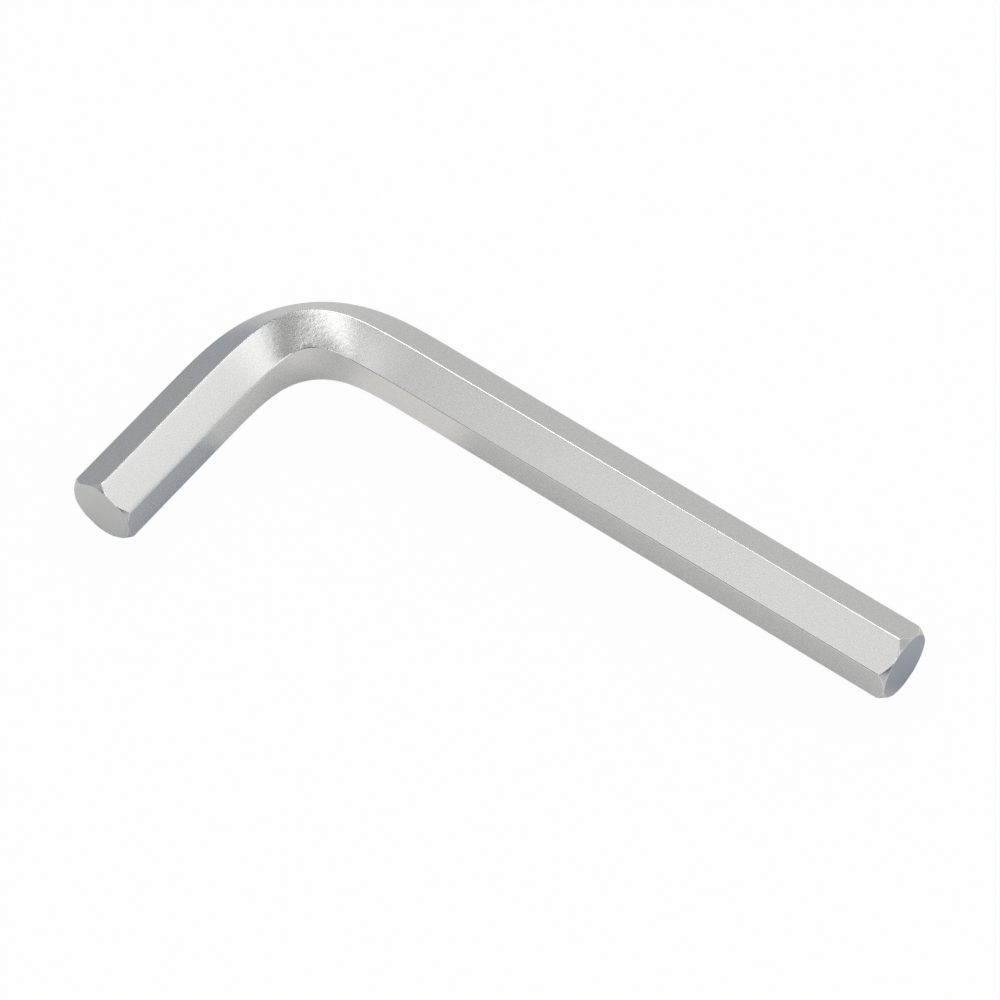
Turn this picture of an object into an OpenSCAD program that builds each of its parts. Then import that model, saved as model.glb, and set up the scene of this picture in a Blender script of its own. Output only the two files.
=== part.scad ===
// L-shaped hex key bent from one length of hexagonal steel bar.
// It lies as it comes to rest, with one of the bar's corners down on the bench,
// the long arm along +X and the short arm along -Y. All sizes are in millimetres.

/* [Bar] */
// Width across the flats, a little under the nominal 14 so that it enters a socket
across_flats = 13.9; // [12:0.1:16]
// Radius of the bar's six drawn edges
edge_radius = 0.35; // [0.1:0.05:0.8]

/* [Arms] */
// Long arm, from the short arm's outer flat to the tip
long_arm = 154; // [100:1:240]
// Short arm, from the long arm's outer flat to the tip
short_arm = 70; // [64:1:99]

/* [Bend] */
// Radius of the bar's middle line where the bend is tightest, half way round
bend_radius = 18.1; // [15:0.1:20]
// How gently the bend runs into the arms: 0 is a plain arc, 1 starts with no curve at all
bend_easing = 0.8; // [0:0.05:0.85]
// How far the inner flat is pressed outwards in the middle of the bend
inner_press = 1; // [0:0.1:1.6]
// How far each edge of the inner flat swells up or down in the middle of the bend
inner_spread = 1.4; // [0:0.1:1.8]
// How far the top and bottom corners are drawn outwards in the middle of the bend
ridge_shift = 1.8; // [0:0.1:2.4]
// How far each edge of the stretched outer flat narrows in the middle of the bend
outer_narrow = 0.4; // [0:0.1:0.8]

/* [Long tip] */
// Diameter of the round face left by the chamfer on the long tip
long_tip_d = 13.8; // [10:0.1:14.5]
// Slope of the long tip's chamfer, from the arm's axis
long_tip_angle = 35; // [30:1:60]

/* [Short tip] */
// Diameter of the round face left by the chamfer on the short tip
short_tip_d = 14.1; // [10:0.1:14.5]
// Slope of the short tip's chamfer, from the arm's axis
short_tip_angle = 41; // [30:1:60]

/* [Hidden] */
$fn = 96;
steel_colour = [0.77, 0.77, 0.76];

// Straight steps around each rounded edge, even so that one point is its crest
edge_steps = 4;
// Sections through the bend
bend_steps = 60;
bend_sweep = 90;
// How sharply the swelling and thinning gather in the middle of the bend
strain_power = 4;

half_flats = across_flats / 2;
// Distance from the bar's middle to a sharp corner
corner_r = across_flats / sqrt(3);
// Height of the crest of a rounded corner above the bar's middle
crest_r = corner_r - edge_radius * (2 / sqrt(3) - 1);

function unit(v) = v / norm(v);

// How far the bar has turned from the long arm's line, at a share of the bend's length
function turned(t) = bend_sweep * (t - bend_easing * sin(360 * t) / (2 * PI));

// Share of the full distortion there: none where the arms begin, all of it half way
function strain(t) = pow(sin(180 * t), strain_power);

// The bar's middle line round the bend in plan, from the long arm's end of it, as a
// chain of short steps; the bend is as long as an arc of its mean radius
bend_step = bend_radius * (1 + bend_easing) * bend_sweep * PI / 180 / bend_steps;
bend_line = [
    for (
        i = 0, p = [0, 0];
        i <= bend_steps;
        a = turned((i + 0.5) / bend_steps), p = p - bend_step * [cos(a), sin(a)], i = i + 1
    )
    p
];
// From the bend's two ends to the point where the arms' middle lines would meet
bend_reach = -bend_line[bend_steps][0];
// From that point to each tip
long_reach = long_arm - half_flats;
short_reach = short_arm - half_flats;
// Length of bar past each tip that is faced off when the tip is turned
spare = 1;

// The section's six corners as [towards the inside of the bend, up], anticlockwise
// from the upper edge of the inner flat; s is the share of the full distortion
function section_corners(s) =
    let (
        inner = half_flats - inner_press * s,
        outer = -half_flats,
        ridge = -ridge_shift * s,
        inner_h = corner_r / 2 + inner_spread * s,
        outer_h = corner_r / 2 - outer_narrow * s
    )
    [
        [inner, inner_h],
        [ridge, corner_r],
        [outer, outer_h],
        [outer, -outer_h],
        [ridge, -corner_r],
        [inner, -inner_h]
    ];

// Direction in which the side from a to b faces, on an anticlockwise outline
function facing(a, b) = atan2(a[0] - b[0], b[1] - a[1]);

// The arc that rounds corner b, between its neighbours a and c
function rounded_corner(a, b, c) =
    let (
        to_a = unit(a - b),
        to_c = unit(c - b),
        half_angle = acos(to_a * to_c) / 2,
        centre = b + unit(to_a + to_c) * edge_radius / sin(half_angle),
        turn = 180 - 2 * half_angle
    )
    [
        for (step = [0:edge_steps])
            let (heading = facing(a, b) + turn * step / edge_steps)
            centre + edge_radius * [cos(heading), sin(heading)]
    ];

// The whole outline of the section, with every corner rounded
function section(s) =
    let (
        corners = section_corners(s),
        count = len(corners)
    )
    [
        for (i = [0:count - 1])
            each rounded_corner(corners[(i + count - 1) % count], corners[i], corners[(i + 1) % count])
    ];

// One section of the bar set square across its middle line, at a point of that line
// and a turn from the long arm's line. The arms' middle lines would meet at the origin.
function ring(middle, a, s) = [
    for (p = section(s))
        [middle[0] + p[0] * sin(a), middle[1] - p[0] * cos(a), p[1]]
];

// The bar from the long arm's end to the short arm's: its section swept along the
// middle line, swelling inside the bend and thinning outside it as the steel is
// squeezed and stretched
module bar() {
    rings = concat(
        [ring([long_reach + spare, 0], 0, 0)],
        [
            for (i = [0:bend_steps])
                let (t = i / bend_steps)
                ring(bend_line[i] + [bend_reach, 0], turned(t), strain(t))
        ],
        [ring([0, -short_reach - spare], bend_sweep, 0)]
    );
    count = len(rings[0]);
    last = len(rings) - 1;
    polyhedron(
        points = [for (r = rings) each r],
        faces = concat(
            [[for (k = [0:count - 1]) k]],
            [
                for (i = [0:last - 1], k = [0:count - 1])
                    let (
                        next = (k + 1) % count,
                        a = i * count + k,
                        b = i * count + next,
                        c = a + count,
                        d = b + count
                    )
                    each [[a, c, b], [b, c, d]]
            ],
            [[for (k = [count - 1:-1:0]) last * count + k]]
        )
    );
}

// What a lathe takes off the end of an arm that lies along +Z, to leave a flat round
// face at its tip, a cone behind it and so an arc on every flat
module turned_off(reach, tip_r, tip_angle) {
    stock_r = corner_r + 1;
    rotate_extrude()
        polygon([
            [0, reach],
            [tip_r, reach],
            [stock_r, reach - (stock_r - tip_r) / tan(tip_angle)],
            [stock_r, reach + 2 * spare],
            [0, reach + 2 * spare]
        ]);
}

// The key, set with its bottom corner on the bench and its extents centred
module hex_key() {
    color(steel_colour)
    translate([half_flats - long_arm / 2, short_arm / 2 - half_flats, crest_r])
    difference() {
        bar();
        rotate([0, 90, 0])
            turned_off(long_reach, long_tip_d / 2, long_tip_angle);
        rotate([90, 0, 0])
            turned_off(short_reach, short_tip_d / 2, short_tip_angle);
    }
}

hex_key();
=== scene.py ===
"""The dressed model of an L-shaped hex key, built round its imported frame.

Lengths are in metres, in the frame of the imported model: the long arm lies along +X, the
short arm along -Y, and +Z is up from the bench that the key rests on.
"""

import logging
import math
from collections.abc import Callable
from dataclasses import dataclass, field
from enum import Enum

import bmesh
import bpy
from mathutils import Matrix, Vector, noise


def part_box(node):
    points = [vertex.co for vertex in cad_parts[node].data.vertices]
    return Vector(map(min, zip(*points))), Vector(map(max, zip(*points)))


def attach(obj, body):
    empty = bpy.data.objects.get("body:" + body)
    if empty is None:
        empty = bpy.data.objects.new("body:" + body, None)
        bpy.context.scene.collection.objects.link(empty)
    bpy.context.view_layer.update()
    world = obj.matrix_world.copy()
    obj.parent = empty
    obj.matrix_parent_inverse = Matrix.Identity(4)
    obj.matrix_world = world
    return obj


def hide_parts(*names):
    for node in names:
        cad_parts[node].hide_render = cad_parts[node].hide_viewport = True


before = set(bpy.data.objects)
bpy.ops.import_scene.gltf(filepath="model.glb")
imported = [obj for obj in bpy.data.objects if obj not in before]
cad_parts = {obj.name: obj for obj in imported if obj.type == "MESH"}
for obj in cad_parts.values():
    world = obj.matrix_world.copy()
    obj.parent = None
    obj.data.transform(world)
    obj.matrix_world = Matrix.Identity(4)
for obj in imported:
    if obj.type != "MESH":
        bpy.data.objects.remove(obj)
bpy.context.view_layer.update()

NODE = "hex_key"
BODY = "root"

Point = tuple[float, float, float]
Span = tuple[float, float]
Rgb = tuple[float, float, float]
Rgba = tuple[float, float, float, float]

RIGHT = Vector((1.0, 0.0, 0.0))
UP = Vector((0.0, 0.0, 1.0))
WHITE = (1.0, 1.0, 1.0, 1.0)
# Corners of the drawn bar's section, and of each face along its sides
SIDES = 6
QUAD = 4
# The average of smooth noise
NOISE_MEAN = 0.5
# The numbers of a colour Mix node's sockets, which share their names with other sockets
MIX_SHARE, MIX_FIRST, MIX_SECOND = 0, 6, 7
MIX_COLOUR = 2
# How nearly a face's normal points along a direction that it faces, as a cosine
FACING = 0.9
# How far a picked corner may be off along or across the bar, as a share of a step of the bend
PICK_SLACK = 0.25
# How far from the middle a picked corner may be, as a share of where it should be
CORNER_SLACK = 1.01
# How far behind a tip's face the points made by breaking its edges lie, in runs of the burr
BURR_REACH = 3

log = logging.getLogger("hex_key")


class Arm(Enum):
    """The two arms of the key, each with the direction from the corner to its tip."""

    LONG = (1.0, 0.0, 0.0)
    SHORT = (0.0, -1.0, 0.0)

    @property
    def outward(self) -> Vector:
        """The direction in which the arm runs from the key's corner."""
        return Vector(self.value)


class Signal:
    """The output of one shader node, on which arithmetic adds Math nodes."""

    def __init__(self, graph: "Graph", socket: bpy.types.NodeSocket | None) -> None:
        """Wrap a socket.

        Args:
            graph: The node graph that the socket belongs to.
            socket: The output socket to wrap, or None for a node that has none.
        """
        self.graph = graph
        self.socket = socket

    def _math(self, operation: str, *values: "Signal | float") -> "Signal":
        """Add a Math node.

        Args:
            operation: The node's operation, such as ADD.
            *values: The node's inputs, in order.

        Returns:
            The node's result.
        """
        return self.graph.node("ShaderNodeMath", {"operation": operation}, dict(enumerate(values)))

    def __add__(self, other: "Signal | float") -> "Signal":
        """This signal plus another or a number."""
        return self._math("ADD", self, other)

    def __radd__(self, other: float) -> "Signal":
        """A number plus this signal."""
        return self._math("ADD", other, self)

    def __sub__(self, other: "Signal | float") -> "Signal":
        """This signal minus another or a number."""
        return self._math("SUBTRACT", self, other)

    def __rsub__(self, other: float) -> "Signal":
        """A number minus this signal."""
        return self._math("SUBTRACT", other, self)

    def __mul__(self, other: "Signal | float") -> "Signal":
        """This signal times another or a number."""
        return self._math("MULTIPLY", self, other)

    def __rmul__(self, other: float) -> "Signal":
        """A number times this signal."""
        return self._math("MULTIPLY", other, self)

    def output(self, name: str) -> "Signal":
        """Another output of the same node."""
        return Signal(self.graph, self.socket.node.outputs[name])


class Graph:
    """A shader's node tree, filled one node at a time."""

    def __init__(self, tree: bpy.types.NodeTree) -> None:
        """Empty the tree.

        Args:
            tree: The node tree to fill.
        """
        self.tree = tree
        self.tree.nodes.clear()

    def node(
        self,
        kind: str,
        settings: dict[str, object] | None = None,
        sockets: dict[str | int, object] | None = None,
        output: str | int = 0,
    ) -> Signal:
        """Add a node, set it and join its inputs.

        Args:
            kind: The node's type.
            settings: The node's own settings, such as a Math node's operation.
            sockets: A value or a signal for each input, by name or number.
            output: The output to give back, by name or number.

        Returns:
            The chosen output.
        """
        made = self.tree.nodes.new(kind)
        for name, value in (settings or {}).items():
            setattr(made, name, value)
        for name, value in (sockets or {}).items():
            if isinstance(value, Signal):
                self.tree.links.new(value.socket, made.inputs[name])
            else:
                made.inputs[name].default_value = value
        return Signal(self, made.outputs[output] if made.outputs else None)

    def object_place(self) -> Signal:
        """The place on the object, in its own coordinates."""
        return self.node("ShaderNodeTexCoord", output="Object")

    def parts(self, vector: Signal) -> tuple[Signal, Signal, Signal]:
        """The X, Y and Z of a vector."""
        apart = self.node("ShaderNodeSeparateXYZ", None, {"Vector": vector})
        return apart, apart.output("Y"), apart.output("Z")

    def smooth_step(self, value: Signal, start: float, end: float) -> Signal:
        """A smooth rise from 0 to 1 as a value goes from start to end."""
        sockets = {"Value": value, "From Min": start, "From Max": end}
        return self.node("ShaderNodeMapRange", {"interpolation_type": "SMOOTHSTEP"}, sockets)

    def nearness(self, place: Signal, centre: Point, reach: Span) -> Signal:
        """Tell how near a place is to a point.

        Args:
            place: The place.
            centre: The point.
            reach: The distances at which the answer leaves 1 and comes to 0.

        Returns:
            A smooth fall from 1 to 0.
        """
        ends = {0: place, 1: centre}
        away = self.node("ShaderNodeVectorMath", {"operation": "DISTANCE"}, ends, "Value")
        return 1.0 - self.smooth_step(away, *reach)

    def blend(self, share: Signal, first: Signal | Rgba, second: Rgba) -> Signal:
        """A colour that goes from one to another as a share goes from 0 to 1."""
        sockets = {MIX_SHARE: share, MIX_FIRST: first, MIX_SECOND: second}
        return self.node("ShaderNodeMix", {"data_type": "RGBA"}, sockets, MIX_COLOUR)

    def noise(self, place: Signal, size: float, detail: float, roughness: float) -> Signal:
        """Add smooth noise.

        Args:
            place: Where the noise is read.
            size: The size of its features, in metres.
            detail: How many finer layers it has.
            roughness: How strong the finer layers are.

        Returns:
            Noise from 0 to 1, with NOISE_MEAN as its average.
        """
        sockets = {"Vector": place, "Scale": 1.0 / size, "Detail": detail, "Roughness": roughness}
        return self.node("ShaderNodeTexNoise", None, sockets, "Fac")


def select_only(piece: bpy.types.Object) -> None:
    """Make one object the only one selected, and the active one.

    Args:
        piece: The object to select.
    """
    bpy.ops.object.select_all(action="DESELECT")
    piece.select_set(True)
    bpy.context.view_layer.objects.active = piece


def select_where(
    piece: bpy.types.Object,
    kind: str,
    wanted: Callable[[bmesh.types.BMVert | bmesh.types.BMEdge | bmesh.types.BMFace], bool],
) -> int:
    """Select parts of the mesh being edited by their place or direction, and nothing else.

    Args:
        piece: The object in edit mode.
        kind: VERT, EDGE or FACE.
        wanted: Says whether one vertex, edge or face is wanted.

    Returns:
        How many are selected.
    """
    bpy.ops.mesh.select_mode(type=kind)
    bpy.ops.mesh.select_all(action="DESELECT")
    shape = bmesh.from_edit_mesh(piece.data)
    parts = {"VERT": shape.verts, "EDGE": shape.edges, "FACE": shape.faces}[kind]
    found = [part for part in parts if wanted(part)]
    for part in found:
        part.select_set(True)
    shape.select_flush_mode()
    bmesh.update_edit_mesh(piece.data)
    return len(found)


def apply_modifier(piece: bpy.types.Object, kind: str, settings: dict[str, object]) -> None:
    """Add a modifier to an object and apply it.

    Args:
        piece: The object to change.
        kind: The modifier's type.
        settings: The modifier's own settings.
    """
    select_only(piece)
    modifier = piece.modifiers.new(kind.lower(), kind)
    for name, value in settings.items():
        setattr(modifier, name, value)
    bpy.ops.object.modifier_apply(modifier=modifier.name)


def turned_to(right: Vector, up: Vector, back: Vector, place: Vector) -> Matrix:
    """The matrix of a lamp or camera.

    Args:
        right: Where its own X points.
        up: Where its own Y points.
        back: Where its own Z points, away from what it is aimed at.
        place: Where it stands.

    Returns:
        The matrix that turns it so and puts it there.
    """
    return Matrix.Translation(place) @ Matrix((right, up, back)).transposed().to_4x4()


class Face(Enum):
    """The kinds of surface on the key, each with the material slot of its finish."""

    DRAWN = 0
    ROUNDED = 1
    TURNED = 2


@dataclass(frozen=True)
class Plate:
    """Satin nickel plate over steel that was finished in one way before it was plated.

    Attributes:
        name: The material's name.
        colour: The plate's colour.
        tone_spread: How far the mottling lightens and darkens the colour.
        mottle_size: Size of the mottling.
        mottle_detail: How many finer layers the mottling has.
        mottle_roughness: How strong they are.
        roughness: The plate's roughness.
        roughness_spread: How far the grain varies the roughness.
        grain_size: Size of the grain.
        grain_detail: How many finer layers the grain has.
        grain_height: Height of the grain.
        fleck: How far the grain lightens and darkens the colour.
        peel_size: Size of the uneven skin where the bend is squeezed.
        peel_detail: How many finer layers that skin has.
        peel_height: Its height.
        peel_centre: Where it is strongest.
        peel_reach: How far from there it starts to fade, and where it has faded away.
        fine_roughness: How strong the finer layers of the grain and of that skin are.
    """

    name: str
    colour: Rgb = (0.72, 0.72, 0.715)
    tone_spread: float = 0.03
    mottle_size: float = 0.0016
    mottle_detail: float = 3.0
    mottle_roughness: float = 0.5
    roughness: float = 0.27
    roughness_spread: float = 0.05
    grain_size: float = 0.00035
    grain_detail: float = 3.0
    grain_height: float = 0.0000024
    fleck: float = 0.11
    peel_size: float = 0.0009
    peel_detail: float = 4.0
    peel_height: float = 0.00004
    peel_centre: Point = (-0.0655, 0.0235, 0.008)
    peel_reach: Span = (0.007, 0.024)
    fine_roughness: float = 0.6

    def material(self) -> bpy.types.Material:
        """Make the plate's material.

        Returns:
            The material, which reads Object coordinates.
        """
        made = bpy.data.materials.new(self.name)
        made.use_nodes = True
        graph = Graph(made.node_tree)
        place = graph.object_place()
        grain = graph.noise(place, self.grain_size, self.grain_detail, self.fine_roughness)
        mottle = graph.noise(place, self.mottle_size, self.mottle_detail, self.mottle_roughness)
        mottling = self.tone_spread * (mottle - NOISE_MEAN)
        tone = 1.0 + mottling + self.fleck * (grain - NOISE_MEAN)
        toned = {0: self.colour, "Scale": tone}
        skin = graph.noise(place, self.peel_size, self.peel_detail, self.fine_roughness)
        peel = graph.nearness(place, self.peel_centre, self.peel_reach) * skin
        height = grain + self.peel_height / self.grain_height * peel
        relief = {"Distance": self.grain_height, "Height": height}
        sockets = {
            "Base Color": graph.node("ShaderNodeVectorMath", {"operation": "SCALE"}, toned),
            "Metallic": 1.0,
            "Roughness": self.roughness + self.roughness_spread * (grain - NOISE_MEAN),
            "Normal": graph.node("ShaderNodeBump", None, relief),
        }
        surface = graph.node("ShaderNodeBsdfPrincipled", None, sockets)
        graph.node("ShaderNodeOutputMaterial", None, {"Surface": surface})
        return made


def plated_finishes() -> dict[Face, Plate]:
    """The finish of each kind of surface."""
    # Rounded edges: a smoother, polished finish, with a lighter colour that paints a highlight
    # along them
    burnished_with_painted_highlight = Plate(
        "burnished_edge_painted_highlight", colour=(0.88, 0.88, 0.87), roughness=0.16, grain_height=0.000001
    )
    turned = Plate("turned_tip", roughness=0.3, grain_height=0.000002)
    return {Face.DRAWN: Plate("satin_plate"), Face.ROUNDED: burnished_with_painted_highlight, Face.TURNED: turned}


@dataclass(frozen=True)
class Section:
    """The drawn bar's section, a hexagon that stands on one of its corners."""

    across_flats: float = 0.0139
    edge_radius: float = 0.00035

    @property
    def half_flats(self) -> float:
        """Distance from the middle to a flat."""
        return self.across_flats / 2

    @property
    def corner(self) -> float:
        """Distance from the middle to a sharp corner."""
        return self.across_flats / math.sqrt(3)

    @property
    def crest(self) -> float:
        """Distance from the middle to the crest of a rounded corner."""
        return self.corner - self.edge_radius * (2 / math.sqrt(3) - 1)

    @property
    def edge_run(self) -> float:
        """Width of flat that the rounding takes on each side of a corner."""
        return self.edge_radius / math.sqrt(3)

    def reach_of(self, side: float, up: float) -> float:
        """How far out a point stands towards its nearest flat, where 1 is on the flat.

        Args:
            side: The point's distance from the middle, towards a side flat.
            up: Its distance from the middle upwards.

        Returns:
            Its distance square to that flat, as a share of the flat's own.
        """
        return max(abs(side), (abs(side) + math.sqrt(3) * abs(up)) / 2) / self.half_flats


@dataclass(frozen=True)
class Bend:
    """The bend between the arms, tightest half way, where its section is most distorted.

    Attributes:
        radius: Radius of the middle line half way round.
        easing: How gently the bend runs into the arms, where 0 is a plain arc.
        sweep: The angle between the arms.
        steps: Steps from ring to ring of points.
        strain_power: How sharply the distortion gathers half way round.
        inner_press: How far the inner flat is pressed outwards.
        inner_spread: How far each edge of the inner flat swells up or down.
        ridge_shift: How far the top and bottom corners are drawn outwards.
        outer_narrow: How far each edge of the outer flat narrows.
    """

    radius: float = 0.0181
    easing: float = 0.8
    sweep: float = math.radians(90)
    steps: int = 120
    strain_power: int = 4
    inner_press: float = 0.001
    inner_spread: float = 0.0014
    ridge_shift: float = 0.0018
    outer_narrow: float = 0.0004

    @property
    def step(self) -> float:
        """Length of one step along the middle line."""
        return self.radius * (1 + self.easing) * self.sweep / self.steps

    def turned(self, share: float) -> float:
        """How far the bar has turned from the long arm's line, at a share of the bend."""
        return self.sweep * (share - self.easing * math.sin(math.tau * share) / math.tau)

    def strain(self, share: float) -> float:
        """The share of the full distortion there: none at the arms, all of it half way."""
        return math.sin(math.pi * share) ** self.strain_power

    def heading(self, share: float) -> Vector:
        """The direction of the bar there, away from the long arm."""
        angle = self.turned(share)
        return Vector((-math.cos(angle), -math.sin(angle), 0.0))

    def line(self) -> list[Vector]:
        """The middle line, ring by ring, from where the arms' middle lines would meet.

        Returns:
            The middle of each ring, the long arm's end first.
        """
        middles = [Vector((0.0, 0.0, 0.0))]
        for number in range(self.steps):
            middles.append(middles[-1] + self.step * self.heading((number + 0.5) / self.steps))
        reach = Vector((-middles[-1].x, 0.0, 0.0))
        return [middle + reach for middle in middles]


@dataclass(frozen=True)
class Tip:
    """A tip turned on a lathe: a round end face inside a cone."""

    arm: Arm
    face_diameter: float
    chamfer_angle: float
    facets: int = 96

    def cutter(
        self, corner: Vector, reach: float, section: Section, spare: float
    ) -> bpy.types.Object:
        """Make the shape of what the lathe takes off the tip.

        Args:
            corner: Where the arms' middle lines would meet.
            reach: Distance from there to the tip's face.
            section: The bar's section.
            spare: Length of bar past the tip that is faced off.

        Returns:
            A disc with a hollow cone in the side towards the arm.
        """
        rim = section.corner + spare
        margin = rim - self.face_diameter / 2
        cone = margin / math.tan(self.chamfer_angle)
        depth = cone + 2 * spare
        outward = self.arm.outward
        bpy.ops.object.select_all(action="DESELECT")
        bpy.ops.mesh.primitive_cylinder_add(
            vertices=self.facets,
            radius=rim,
            depth=depth,
            location=corner + outward * (reach - cone + depth / 2),
            rotation=outward.to_track_quat("Z", "Y").to_euler(),
        )
        made = bpy.context.object
        bpy.ops.object.transform_apply(location=True, rotation=True, scale=True)
        bpy.ops.object.mode_set(mode="EDIT")
        select_where(made, "FACE", lambda face: face.normal.dot(outward) < -FACING)
        bpy.ops.mesh.inset(thickness=margin, depth=-cone)
        bpy.ops.object.mode_set(mode="OBJECT")
        for _ in Face:
            made.data.materials.append(None)
        for polygon in made.data.polygons:
            polygon.material_index = Face.TURNED.value
        return made


@dataclass
class HexKey:
    """The whole key: one hexagonal bar, bent once, with a turned tip at each end.

    Attributes:
        long_arm: The long arm, from the short arm's outer flat to the tip.
        short_arm: The short arm, from the long arm's outer flat to the tip.
        section: The bar's section.
        bend: The bend.
        long_tip: The long arm's tip.
        short_tip: The short arm's tip.
        spare: Length of bar past each tip that is faced off.
        arm_step: Longest step along an arm.
        edge_segments: Steps round each drawn edge.
        edge_turn: Least angle between the flats at a drawn edge.
        edge_waver: How far the width of a drawn edge varies, as a share of it.
        waver_size: Length over which it varies.
        flat_turn: Largest angle between two faces of one flat.
        flat_cuts: Cuts across each flat.
        merge_gap: How close two points are that are merged into one.
        burr_run: Width that is taken off the edges left by the lathe.
        burr_segments: Steps across that width.
        burr_turn: Least angle at an edge left by the lathe.
        proud_slack: How far past a flat a point may be, as a share of the flat's distance.
        smooth_turn: Largest angle that is shaded smoothly.
        flat_weight: How strongly a large face keeps its shading flat.
        finishes: The finish of each kind of surface.
        piece: The key's object, once it is drawn.
    """

    long_arm: float
    short_arm: float
    section: Section = Section()
    bend: Bend = Bend()
    long_tip: Tip = Tip(Arm.LONG, face_diameter=0.0138, chamfer_angle=math.radians(35))
    short_tip: Tip = Tip(Arm.SHORT, face_diameter=0.0141, chamfer_angle=math.radians(41))
    spare: float = 0.001
    arm_step: float = 0.002
    edge_segments: int = 4
    edge_turn: float = math.radians(25)
    edge_waver: float = 0.18
    waver_size: float = 0.006
    flat_turn: float = math.radians(10)
    flat_cuts: int = 7
    merge_gap: float = 0.00001
    burr_run: float = 0.0001
    burr_segments: int = 2
    burr_turn: float = math.radians(28)
    proud_slack: float = 0.0003
    smooth_turn: float = math.radians(40)
    flat_weight: int = 50
    finishes: dict[Face, Plate] = field(default_factory=plated_finishes)
    piece: bpy.types.Object | None = field(default=None, init=False)

    @property
    def corner(self) -> Vector:
        """Where the arms' middle lines would meet, with the key's extents centred."""
        half = self.section.half_flats
        return Vector((half - self.long_arm / 2, self.short_arm / 2 - half, self.section.crest))

    @property
    def long_reach(self) -> float:
        """Distance from the key's corner to the face of the long tip."""
        return self.long_arm - self.section.half_flats

    @property
    def short_reach(self) -> float:
        """Distance from the key's corner to the face of the short tip."""
        return self.short_arm - self.section.half_flats

    def build(self) -> bpy.types.Object:
        """Model and dress the key.

        Returns:
            The finished object.
        """
        tips = ((self.long_tip, self.long_reach), (self.short_tip, self.short_reach))
        self._draw_bar()
        self._squeeze_bend()
        self._round_drawn_edges()
        self._divide_flats()
        for tip, reach in tips:
            self._turn_tip(tip, reach)
        self._break_turned_edges()
        for tip, reach in tips:
            self._press_back(tip, reach)
        self._smooth()
        return self.piece

    def _draw_bar(self) -> None:
        """Extrude the section from past the long tip, round the bend and past the short tip."""
        middles = [self.corner + middle for middle in self.bend.line()]
        start = self.corner + Arm.LONG.outward * (self.long_reach + self.spare)
        end = self.corner + Arm.SHORT.outward * (self.short_reach + self.spare)
        self._lay_section(start)
        bpy.ops.object.mode_set(mode="EDIT")
        bpy.ops.mesh.select_mode(type="FACE")
        bpy.ops.mesh.select_all(action="SELECT")
        self._extrude_straight(start, middles[0])
        steps = self.bend.steps
        for number in range(steps):
            pivot = middles[number + 1]
            turn = self.bend.turned((number + 1) / steps) - self.bend.turned(number / steps)
            self._extrude(pivot - middles[number])
            # Without a window the operator turns the other way round
            bpy.ops.transform.rotate(value=-turn, orient_axis="Z", center_override=pivot)
        self._extrude_straight(middles[-1], end)
        bpy.ops.mesh.select_all(action="SELECT")
        bpy.ops.mesh.normals_make_consistent(inside=False)
        bpy.ops.object.mode_set(mode="OBJECT")

    def _lay_section(self, start: Vector) -> None:
        """Lay the section that the bar is extruded from, square across the long arm.

        Args:
            start: The middle of the section.
        """
        bpy.ops.object.select_all(action="DESELECT")
        bpy.ops.mesh.primitive_circle_add(
            vertices=SIDES,
            radius=self.section.corner,
            fill_type="NGON",
            location=start,
            rotation=(math.pi / 2, 0.0, math.pi / 2),
        )
        self.piece = bpy.context.object
        self.piece.name = self.piece.data.name = "hex_key_bar"
        for face in Face:
            self.piece.data.materials.append(self.finishes[face].material())
        bpy.ops.object.transform_apply(location=True, rotation=True, scale=True)

    def _extrude(self, move: Vector) -> None:
        """Extrude the selected end of the bar.

        Args:
            move: How far the end moves.
        """
        bpy.ops.mesh.extrude_region_move(TRANSFORM_OT_translate={"value": move})

    def _extrude_straight(self, start: Vector, end: Vector) -> None:
        """Extrude an arm in even steps.

        Args:
            start: The middle of the end that is selected.
            end: Where that middle comes to.
        """
        steps = math.ceil((end - start).length / self.arm_step)
        for _ in range(steps):
            self._extrude((end - start) / steps)

    def _squeeze_bend(self) -> None:
        """Swell the inside of the bend and thin its outside, ring by ring."""
        bpy.ops.object.mode_set(mode="EDIT")
        half = self.section.half_flats
        # Height of a side flat's upper edge above the middle
        edge_height = self.section.corner / 2
        for number, local in enumerate(self.bend.line()):
            share = number / self.bend.steps
            strain = self.bend.strain(share)
            middle = self.corner + local
            along = self.bend.heading(share)
            inward = UP.cross(along)
            swollen = 1 + self.bend.inner_spread * strain / edge_height
            thinned = 1 - self.bend.outer_narrow * strain / edge_height
            shifts = (
                (half, -self.bend.inner_press * strain, swollen),
                (0.0, -self.bend.ridge_shift * strain, 1.0),
                (-half, 0.0, thinned),
            )
            for side, shift, swell in shifts:
                self._select_pair(middle, along, inward, side)
                bpy.ops.transform.translate(value=inward * shift)
                bpy.ops.transform.resize(value=(1.0, 1.0, swell), center_override=middle)
        bpy.ops.object.mode_set(mode="OBJECT")

    def _select_pair(self, middle: Vector, along: Vector, inward: Vector, side: float) -> None:
        """Select the upper and the lower corner of one ring, on one side of the middle line.

        Args:
            middle: The middle of the ring.
            along: The direction of the bar there.
            inward: The direction towards the inside of the bend.
            side: How far the pair lies inward of the middle.
        """
        slack = PICK_SLACK * self.bend.step
        furthest = CORNER_SLACK * self.section.corner

        def wanted(vertex: bmesh.types.BMVert) -> bool:
            """Whether the vertex is one of the pair."""
            offset = vertex.co - middle
            in_ring = offset.length < furthest and abs(offset.dot(along)) < slack
            return in_ring and abs(offset.dot(inward) - side) < slack

        select_where(self.piece, "VERT", wanted)

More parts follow.
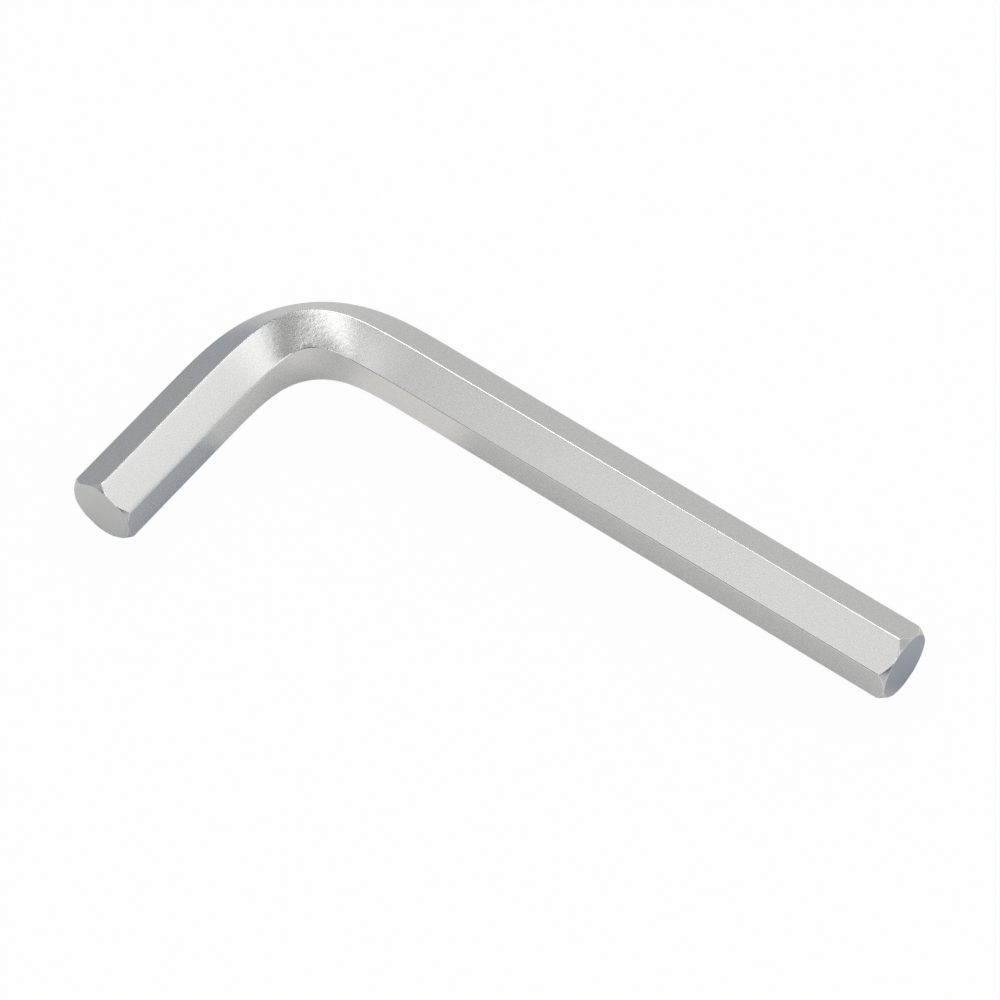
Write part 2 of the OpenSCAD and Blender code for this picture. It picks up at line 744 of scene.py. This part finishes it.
    def _round_drawn_edges(self) -> None:
        """Round the bar's six long edges, a little more in one place than in another."""
        select_only(self.piece)
        bpy.ops.object.mode_set(mode="EDIT")
        bpy.ops.mesh.select_mode(type="EDGE")
        bpy.ops.mesh.select_all(action="DESELECT")
        bpy.ops.mesh.edges_select_sharp(sharpness=self.edge_turn)
        shape = bmesh.from_edit_mesh(self.piece.data)
        weights = shape.edges.layers.float.new("bevel_weight_edge")
        for edge in shape.edges:
            at_end = any(len(face.verts) == SIDES for face in edge.link_faces)
            if edge.select and not at_end:
                middle = (edge.verts[0].co + edge.verts[1].co) / 2
                waver = self.edge_waver * noise.noise(middle / self.waver_size)
                # A weight of a half gives the plain width, with room to waver either way
                edge[weights] = (1 + waver) / 2
        bmesh.update_edit_mesh(self.piece.data)
        bpy.ops.object.mode_set(mode="OBJECT")
        settings = {"limit_method": "WEIGHT", "width": 2 * self.section.edge_run}
        self._bevel(settings | {"segments": self.edge_segments})

    def _divide_flats(self) -> None:
        """Divide the flats across, so that each follows the twist of the bend."""
        select_only(self.piece)
        bpy.ops.object.mode_set(mode="EDIT")
        shortest = self.section.half_flats / 2

        def crosses_flat(edge: bmesh.types.BMEdge) -> bool:
            """Whether the edge runs across a flat, between the two ends of the bar."""
            at_end = any(len(face.verts) > QUAD for face in edge.link_faces)
            in_flat = not at_end and edge.calc_face_angle(0.0) < self.flat_turn
            return in_flat and edge.calc_length() > shortest

        select_where(self.piece, "EDGE", crosses_flat)
        bpy.ops.mesh.subdivide(number_cuts=self.flat_cuts)
        bpy.ops.object.mode_set(mode="OBJECT")

    def _turn_tip(self, tip: Tip, reach: float) -> None:
        """Turn one tip.

        Args:
            tip: The tip to turn.
            reach: Distance from the key's corner to the tip's face.
        """
        cutter = tip.cutter(self.corner, reach, self.section, self.spare)
        settings = {"operation": "DIFFERENCE", "solver": "EXACT", "object": cutter}
        apply_modifier(self.piece, "BOOLEAN", settings)
        bpy.data.objects.remove(cutter)

    def _break_turned_edges(self) -> None:
        """Take the burr off the edges that the lathe left."""
        select_only(self.piece)
        bpy.ops.object.mode_set(mode="EDIT")
        bpy.ops.mesh.select_all(action="SELECT")
        bpy.ops.mesh.remove_doubles(threshold=self.merge_gap)
        bpy.ops.object.mode_set(mode="OBJECT")
        settings = {"limit_method": "ANGLE", "angle_limit": self.burr_turn}
        self._bevel(settings | {"width": self.burr_run, "segments": self.burr_segments})

    def _press_back(self, tip: Tip, reach: float) -> None:
        """Press back the few points that the broken edges leave proud of a tip.

        Those past its face are flattened onto it, and those past its flats are pulled in.

        Args:
            tip: The tip.
            reach: Distance from the key's corner to the tip's face.
        """
        outward = tip.arm.outward
        side = UP.cross(outward)
        middle = self.corner + reach * outward
        # The share of each axis that runs along the arm
        along = [abs(part) for part in outward]
        select_only(self.piece)
        bpy.ops.object.mode_set(mode="EDIT")

        def past_face(vertex: bmesh.types.BMVert) -> bool:
            """Whether a vertex is past the tip's face."""
            return (vertex.co - middle).dot(outward) > 0.0

        def reach_out(vertex: bmesh.types.BMVert) -> float:
            """How far out a vertex of the tip is, where 1 is on a flat, or 0 for any other."""
            offset = vertex.co - middle
            at_tip = abs(offset.dot(outward)) < BURR_REACH * self.burr_run
            return self.section.reach_of(offset.dot(side), offset.z) if at_tip else 0.0

        def past_flats(vertex: bmesh.types.BMVert) -> bool:
            """Whether a vertex is past the tip's flats."""
            return reach_out(vertex) > 1.0 + self.proud_slack

        if select_where(self.piece, "VERT", past_face):
            flattened = [1 - part for part in along]
            bpy.ops.transform.resize(value=flattened, center_override=middle)
        shape = bmesh.from_edit_mesh(self.piece.data)
        proudest = max(reach_out(vertex) for vertex in shape.verts)
        if select_where(self.piece, "VERT", past_flats):
            shrunk = [part + (1 - part) / proudest for part in along]
            bpy.ops.transform.resize(value=shrunk, center_override=middle)
        bpy.ops.object.mode_set(mode="OBJECT")

    def _bevel(self, settings: dict[str, object]) -> None:
        """Bevel the bar, with the new faces in the slot for rounded edges.

        Args:
            settings: The bevel's own settings.
        """
        common = {"use_clamp_overlap": False, "material": Face.ROUNDED.value}
        apply_modifier(self.piece, "BEVEL", common | settings)

    def _smooth(self) -> None:
        """Shade the key smoothly, with its flats kept flat."""
        select_only(self.piece)
        bpy.ops.object.shade_smooth_by_angle(angle=self.smooth_turn)
        settings = {"mode": "FACE_AREA_WITH_ANGLE", "weight": self.flat_weight}
        apply_modifier(self.piece, "WEIGHTED_NORMAL", settings | {"keep_sharp": True})


@dataclass(frozen=True)
class Softbox:
    """One soft rectangular lamp, aimed at the key.

    Attributes:
        name: The lamp's name.
        direction: The direction in which it hangs, seen from the key.
        size: Its two sides.
        level: How bright it looks, where 1 is white.
        turn: How far it is turned about its aim.
        distance: How far from the key it hangs.
    """

    name: str
    direction: Point
    size: Span
    level: float
    turn: float = 0.0
    distance: float = 3.0

    def hang(self) -> None:
        """Hang the lamp, its first side as near to +X as its aim allows, and then turn it."""
        away = Vector(self.direction).normalized()
        aligned = (RIGHT - away.x * away).normalized()
        across = math.cos(self.turn) * aligned + math.sin(self.turn) * away.cross(aligned)
        data = bpy.data.lights.new(self.name, "AREA")
        data.shape = "RECTANGLE"
        data.size, data.size_y = self.size
        data.energy = self.level * math.pi * self.size[0] * self.size[1]
        lamp = bpy.data.objects.new(self.name, data)
        lamp.matrix_world = turned_to(across, away.cross(across), away, away * self.distance)
        bpy.context.scene.collection.objects.link(lamp)


@dataclass(frozen=True)
class Studio:
    """A pale floor under soft, even light, with painted light and painted shade in what the key
    mirrors of it.

    A span that ends in reach, from, beside, beyond, below or dome gives the two places
    between which something fades in or out.

    Attributes:
        floor_half: Half the floor's side.
        floor_colour: The floor's grey.
        floor_white: Share of plain white in the floor that the camera sees.
        floor_shine: Share of it in the floor that the key mirrors.
        painted_glow: Painted light: how much more the key mirrors in the crook between its arms.
        painted_glow_centre: Where that painted light is.
        painted_glow_reach: How far round it the painted light fades.
        painted_glow_colour: The painted light's warm colour.
        painted_shade: Painted shade: how much more it mirrors, in a cool grey, beside the short
            arm and the long tip.
        painted_shade_colour: The colour of that painted shade.
        painted_shade_centre: Where it lies by the long tip.
        painted_shade_reach: How far round there it fades.
        painted_shade_beside: Where it starts beside the short arm, along X.
        painted_shade_beyond: Where it ends there, along X.
        painted_shade_beside_share: Its strength there.
        painted_shade_below: Where it starts there, along Y.
        painted_dim: Painted shade: how much more the key mirrors, in the same cool grey, far to
            the left.
        painted_dim_from: Where that starts, along X.
        painted_dim_skew: How far its front edge leans.
        painted_dim_reach: Where its front edge lies.
        overhead_level: Brightness of the surroundings overhead.
        behind_level: Their brightness at the back and on the right.
        left_level: Their brightness on the left.
        left_reach: Where the left starts, along X.
        front_level: Their brightness at the front.
        front_reach: Where the front starts.
        front_skew: How far the front is turned to the right.
        dome: The heights between which the surroundings go over to overhead.
        lamps: The lamps.
    """

    floor_half: float = 3.0
    floor_colour: float = 0.84
    floor_white: float = 0.965
    floor_shine: float = 0.17
    # Painted light in the crook between the arms, seen only in the key's reflections
    painted_glow: float = 0.44
    painted_glow_centre: Point = (-0.041, 0.017, 0.0)
    painted_glow_reach: Span = (0.009, 0.0183)
    painted_glow_colour: Rgba = (1.0, 0.97, 0.925, 1.0)
    # Painted shade, a cool grey, seen only in the key's reflections
    painted_shade: float = 0.23
    painted_shade_colour: Rgba = (0.1, 0.18, 0.3, 1.0)
    painted_shade_centre: Point = (0.088, 0.036, 0.0)
    painted_shade_reach: Span = (0.012, 0.0175)
    painted_shade_beside: Span = (-0.07, -0.064)
    painted_shade_beyond: Span = (-0.052, -0.042)
    painted_shade_beside_share: float = 0.88
    painted_shade_below: Span = (-0.001, -0.008)
    # Painted shade far to the left, seen only in the key's reflections
    painted_dim: float = 0.35
    painted_dim_from: Span = (-0.1, -0.15)
    painted_dim_skew: float = 0.8
    painted_dim_reach: Span = (-0.03, -0.05)
    overhead_level: float = 0.27
    behind_level: float = 0.8
    left_level: float = 0.56
    left_reach: Span = (-0.5, -0.77)
    front_level: float = 0.12
    front_reach: Span = (-0.55, -0.75)
    front_skew: float = 0.5
    dome: Span = (0.35, 0.95)
    lamps: tuple[Softbox, ...] = (
        Softbox("overhead_strip", (-0.18, -0.035, 0.983), (0.7, 2.11), 1.75, math.radians(4)),
        Softbox("front_box", (-0.216, -0.577, 0.788), (0.66, 1.53), 1.0, math.radians(46)),
        Softbox("right_box", (0.39, 0.269, 0.88), (0.91, 3.3), 1.2, math.radians(14)),
        Softbox("front_spark", (0.2, -0.48, 0.854), (0.75, 0.45), 2.6),
        Softbox("front_low", (0.11, -0.83, 0.55), (1.2, 1.2), 1.2),
        Softbox("right_low", (0.83, -0.09, 0.54), (1.2, 1.14), 1.2),
        Softbox("left_strip", (-0.42, 0.08, 0.9), (0.6, 1.35), 3.0),
        Softbox("back_strip", (-0.02, 0.52, 0.854), (1.35, 0.6), 3.0),
    )

    def build(self) -> None:
        """Lay the floor, set the surroundings and hang the lamps."""
        self._lay_floor()
        self._surround()
        for lamp in self.lamps:
            lamp.hang()

    def _lay_floor(self) -> None:
        """Lay a floor that looks white to the camera and still takes the key's shadow."""
        bpy.ops.object.select_all(action="DESELECT")
        bpy.ops.mesh.primitive_plane_add(size=2 * self.floor_half)
        floor = bpy.context.object
        floor.name = "floor"
        floor.data.materials.append(self._floor_paint())

    def _floor_paint(self) -> bpy.types.Material:
        """Make the floor's paint, with the painted light and painted shade that only mirrored rays
        see.

        Returns:
            The material, which reads Object coordinates.
        """
        paint = bpy.data.materials.new("pale_floor")
        paint.use_nodes = True
        graph = Graph(paint.node_tree)
        grey = (self.floor_colour, self.floor_colour, self.floor_colour, 1.0)
        matt = graph.node("ShaderNodeBsdfDiffuse", None, {"Color": grey})
        seen = graph.node("ShaderNodeLightPath", output="Is Camera Ray")
        mirrored = seen.output("Is Glossy Ray")
        place = graph.object_place()
        # Painted light in the crook, and painted shade beside the short arm, by the long tip and
        # far to the left, seen only in the key's reflections
        painted_glow_share = graph.nearness(place, self.painted_glow_centre, self.painted_glow_reach)
        painted_shade_share = self._mark_painted_shade(graph, place)
        painted_dim_share = self._mark_painted_dim(graph, place)
        pale = self.floor_shine + self.painted_glow * painted_glow_share + self.painted_shade * painted_shade_share + self.painted_dim * painted_dim_share
        # The painted light is tinted warm, the painted shade cool grey
        warm = graph.blend(mirrored * painted_glow_share, WHITE, self.painted_glow_colour)
        tint = graph.blend(mirrored * (painted_shade_share + painted_dim_share), warm, self.painted_shade_colour)
        white = graph.node("ShaderNodeEmission", None, {"Color": tint})
        share = seen * self.floor_white + mirrored * pale
        mixed = graph.node("ShaderNodeMixShader", None, {0: share, 1: matt, 2: white})
        graph.node("ShaderNodeOutputMaterial", None, {"Surface": mixed})
        return paint

    def _mark_painted_shade(self, graph: Graph, place: Signal) -> Signal:
        """Mark the painted shade, a cool grey, beside the short arm and by the long tip.

        Args:
            graph: The floor's node graph.
            place: The place on the floor.

        Returns:
            Its share there, from 0 to 1.
        """
        x, y, _ = graph.parts(place)
        started = graph.smooth_step(x, *self.painted_shade_beside)
        beside = started - graph.smooth_step(x, *self.painted_shade_beyond)
        below = graph.smooth_step(y, *self.painted_shade_below)
        at_tip = graph.nearness(place, self.painted_shade_centre, self.painted_shade_reach)
        return at_tip + self.painted_shade_beside_share * beside * below

    def _mark_painted_dim(self, graph: Graph, place: Signal) -> Signal:
        """Mark the painted shade, in a cool grey, far to the left.

        Args:
            graph: The floor's node graph.
            place: The place on the floor.

        Returns:
            Its share there, from 0 to 1.
        """
        x, y, _ = graph.parts(place)
        in_front = graph.smooth_step(y + self.painted_dim_skew * x, *self.painted_dim_reach)
        return in_front * graph.smooth_step(x, *self.painted_dim_from)

    def _surround(self) -> None:
        """Light the key from all round, with a background that looks white to the camera."""
        world = bpy.data.worlds.new("surroundings")
        bpy.context.scene.world = world
        world.use_nodes = True
        graph = Graph(world.node_tree)
        x, y, z = graph.parts(graph.node("ShaderNodeTexCoord", output="Generated"))
        height = graph.smooth_step(z, *self.dome)
        left = graph.smooth_step(x, *self.left_reach)
        front = graph.smooth_step(y - self.front_skew * x, *self.front_reach)
        sides = self.behind_level + left * (self.left_level - self.behind_level)
        horizon = sides + front * (self.front_level - sides)
        around = horizon + height * (self.overhead_level - horizon)
        seen = graph.node("ShaderNodeLightPath", output="Is Camera Ray")
        strength = around + seen * (1.0 - around)
        background = graph.node("ShaderNodeBackground", None, {"Strength": strength})
        graph.node("ShaderNodeOutputWorld", None, {"Surface": background})


@dataclass(frozen=True)
class PhotoCamera:
    """The photograph's viewpoint, given by how it sees the corner where the arms' lines meet.

    Attributes:
        azimuth: The camera's angle round the key, from +X.
        elevation: Its angle above the bench.
        roll: How far it is rolled about its aim.
        distance: How far it stands from the corner, along its aim.
        focal_px: Its focal length, in pixels.
        frame_px: The frame's side, in pixels.
        corner_px: Where the corner is seen, in pixels across and down.
        sensor: The sensor's side, in millimetres.
        clip: The nearest and the furthest that it sees.
    """

    azimuth: float = math.radians(-50.67)
    elevation: float = math.radians(54.83)
    roll: float = math.radians(-2.56)
    distance: float = 0.9223
    focal_px: float = 4562.0
    frame_px: float = 1000.0
    corner_px: Span = (302.2, 305.1)
    sensor: float = 36.0
    clip: Span = (0.01, 100.0)

    def place(self, corner: Vector) -> None:
        """Set up the camera.

        Args:
            corner: Where the arms' middle lines would meet.
        """
        flat = math.cos(self.elevation)
        x, y = flat * math.cos(self.azimuth), flat * math.sin(self.azimuth)
        back = Vector((x, y, math.sin(self.elevation)))
        level = UP.cross(back).normalized()
        upright = back.cross(level)
        right = math.cos(self.roll) * level + math.sin(self.roll) * upright
        up = math.cos(self.roll) * upright - math.sin(self.roll) * level
        across = (self.corner_px[0] - self.frame_px / 2) * self.distance / self.focal_px
        down = (self.corner_px[1] - self.frame_px / 2) * self.distance / self.focal_px
        data = bpy.data.cameras.new("camera")
        data.sensor_width = self.sensor
        data.lens = self.focal_px * self.sensor / self.frame_px
        data.clip_start, data.clip_end = self.clip
        camera = bpy.data.objects.new("camera", data)
        place = corner + back * self.distance - right * across + up * down
        camera.matrix_world = turned_to(right, up, back, place)
        bpy.context.scene.collection.objects.link(camera)
        bpy.context.scene.camera = camera


def main() -> None:
    """Build the key, the studio and the camera, in that order."""
    logging.basicConfig(level=logging.INFO, format="%(message)s")
    low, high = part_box(NODE)
    key = HexKey(long_arm=high.x - low.x, short_arm=high.y - low.y)
    piece = key.build()
    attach(piece, BODY)
    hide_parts(NODE)
    log.info("%s: %d faces", piece.name, len(piece.data.polygons))
    studio = Studio()
    studio.build()
    log.info("studio: %d lamps", len(studio.lamps))
    PhotoCamera().place(key.corner)
    bpy.context.scene.view_settings.view_transform = "Standard"


if __name__ == "__main__":
    main()
